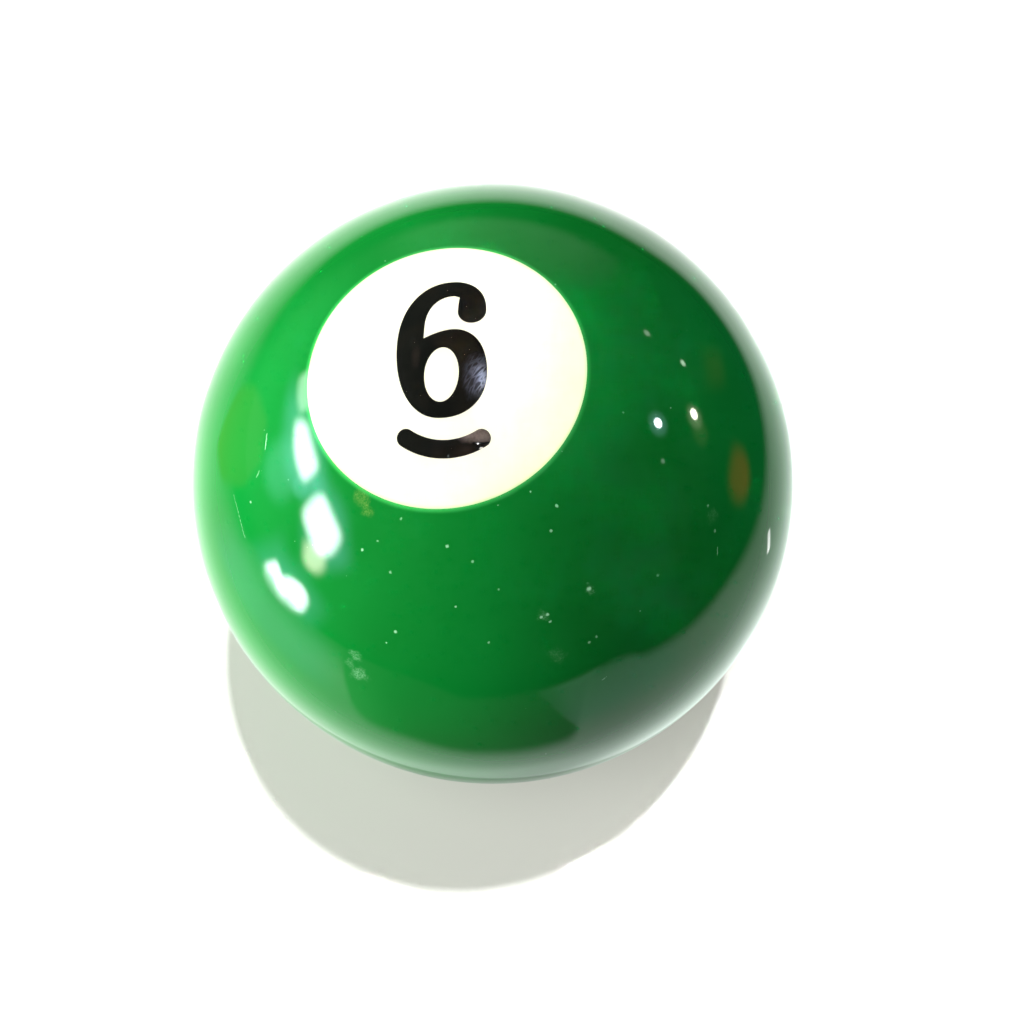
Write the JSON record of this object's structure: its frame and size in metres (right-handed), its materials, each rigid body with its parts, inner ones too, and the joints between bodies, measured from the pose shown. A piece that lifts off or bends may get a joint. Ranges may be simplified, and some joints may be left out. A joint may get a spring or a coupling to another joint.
{
  "type": "numbered pool ball",
  "caption": "Solid-colour resin pool ball with flush number discs and underlined figures on opposite sides, free rolling on a table.",
  "frame": {"origin": "centre of the ball", "axes": "+Z out through the middle of the front number disc, +Y towards the top of the figure, +X to the figure's right; rests at z = -0.0262"},
  "size_m": [0.0524, 0.0524, 0.0524],
  "materials": {
    "green_resin": "polished cast resin, high gloss",
    "core_resin": "mineral-filled cast resin, unpolished",
    "disc_resin": "polished ivory-white cast resin",
    "figure_resin": "polished black cast resin"
  },
  "bodies": {
    "root": {"outer_shell": "green_resin", "inner_core": "core_resin", "number_disc_front": "disc_resin", "numeral_front": "figure_resin", "underline_front": "figure_resin", "number_disc_back": "disc_resin", "numeral_back": "figure_resin", "underline_back": "figure_resin"}
  },
  "joints": []
}
